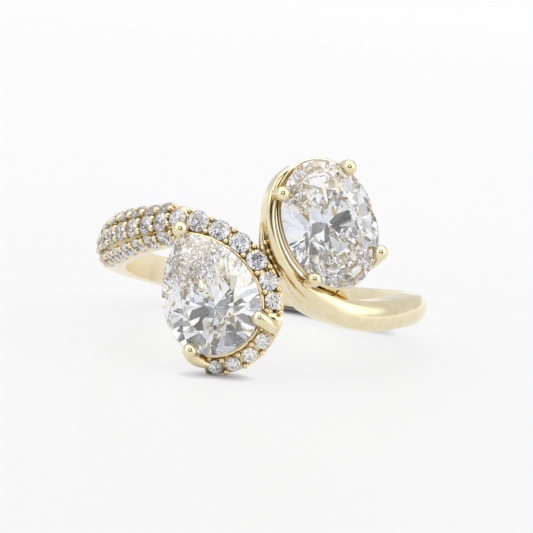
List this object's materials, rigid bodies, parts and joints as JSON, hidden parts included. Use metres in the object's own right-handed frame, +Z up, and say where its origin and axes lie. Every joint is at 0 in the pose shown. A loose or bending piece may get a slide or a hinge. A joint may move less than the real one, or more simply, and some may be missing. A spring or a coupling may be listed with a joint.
{
  "type": "toi et moi ring",
  "caption": "Finger ring whose open gold band curls round a pear stone and an oval stone, with a part halo of small stones and a beaded stone shoulder.",
  "frame": {"origin": "middle of the bottom of the whole ring's box, as the ring lies on its side", "axes": "+Z up, -Y towards the two large stones, +X to the side of the plain shoulder"},
  "size_m": [0.0202, 0.0232, 0.0129],
  "materials": {
    "yellow_gold": "polished yellow gold",
    "pear_diamond": "clear faceted diamond",
    "oval_diamond": "clear faceted diamond",
    "small_diamonds": "clear faceted small diamonds"
  },
  "bodies": {
    "root": {"ring_mount": "yellow_gold", "pear_stone": "pear_diamond", "oval_stone": "oval_diamond", "halo_stone_01": "small_diamonds", "halo_stone_02": "small_diamonds", "halo_stone_03": "small_diamonds", "halo_stone_04": "small_diamonds", "halo_stone_05": "small_diamonds", "halo_stone_06": "small_diamonds", "halo_stone_07": "small_diamonds", "halo_stone_08": "small_diamonds", "halo_stone_09": "small_diamonds", "halo_stone_10": "small_diamonds", "halo_stone_11": "small_diamonds", "shoulder_pave": "small_diamonds"}
  },
  "joints": []
}
